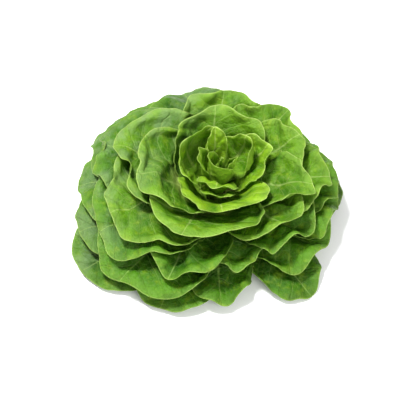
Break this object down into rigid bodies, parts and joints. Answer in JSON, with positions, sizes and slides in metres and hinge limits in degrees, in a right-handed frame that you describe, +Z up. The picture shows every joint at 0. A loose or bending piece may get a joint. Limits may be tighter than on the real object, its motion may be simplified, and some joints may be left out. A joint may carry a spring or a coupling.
{
  "type": "butterhead lettuce",
  "caption": "Open head of butterhead lettuce resting on its cut stem: broad soft waved leaves in layers round a small folded heart.",
  "frame": {"origin": "middle of the stem's cut face, on the surface that the head rests on", "axes": "+Z up through the head; -Y towards the viewer of the picture and +X to the viewer's right"},
  "size_m": [0.2393, 0.2337, 0.082],
  "materials": {
    "heart_leaf": "soft waxy, slightly translucent",
    "inner_leaf": "soft waxy, slightly translucent",
    "outer_leaf": "soft waxy with a pale bloom",
    "stem": "matte, moist"
  },
  "bodies": {
    "root": {"heart_leaf_1": "heart_leaf", "heart_leaf_2": "heart_leaf", "heart_leaf_3": "heart_leaf", "heart_leaf_4": "heart_leaf", "heart_leaf_5": "heart_leaf", "heart_leaf_6": "heart_leaf", "heart_leaf_7": "heart_leaf", "heart_leaf_8": "heart_leaf", "cup_leaf_1": "heart_leaf", "cup_leaf_2": "heart_leaf", "cup_leaf_3": "heart_leaf", "inner_leaf_1": "inner_leaf", "inner_leaf_2": "inner_leaf", "inner_leaf_3": "inner_leaf", "inner_leaf_4": "inner_leaf", "inner_leaf_5": "inner_leaf", "middle_leaf_1": "inner_leaf", "middle_leaf_2": "inner_leaf", "middle_leaf_3": "inner_leaf", "middle_leaf_4": "inner_leaf", "middle_leaf_5": "inner_leaf", "middle_leaf_6": "inner_leaf", "broad_leaf_1": "outer_leaf", "broad_leaf_2": "outer_leaf", "broad_leaf_3": "outer_leaf", "broad_leaf_4": "outer_leaf", "broad_leaf_5": "outer_leaf", "broad_leaf_6": "outer_leaf", "broad_leaf_7": "outer_leaf", "broad_leaf_8": "outer_leaf", "outer_leaf_1": "outer_leaf", "outer_leaf_2": "outer_leaf", "outer_leaf_3": "outer_leaf", "outer_leaf_4": "outer_leaf", "outer_leaf_5": "outer_leaf", "ground_leaf_1": "outer_leaf", "ground_leaf_2": "outer_leaf", "ground_leaf_3": "outer_leaf", "ground_leaf_4": "outer_leaf", "ground_leaf_5": "outer_leaf", "ground_leaf_6": "outer_leaf", "ground_leaf_7": "outer_leaf", "ground_leaf_8": "outer_leaf", "stem": "stem"}
  },
  "joints": []
}
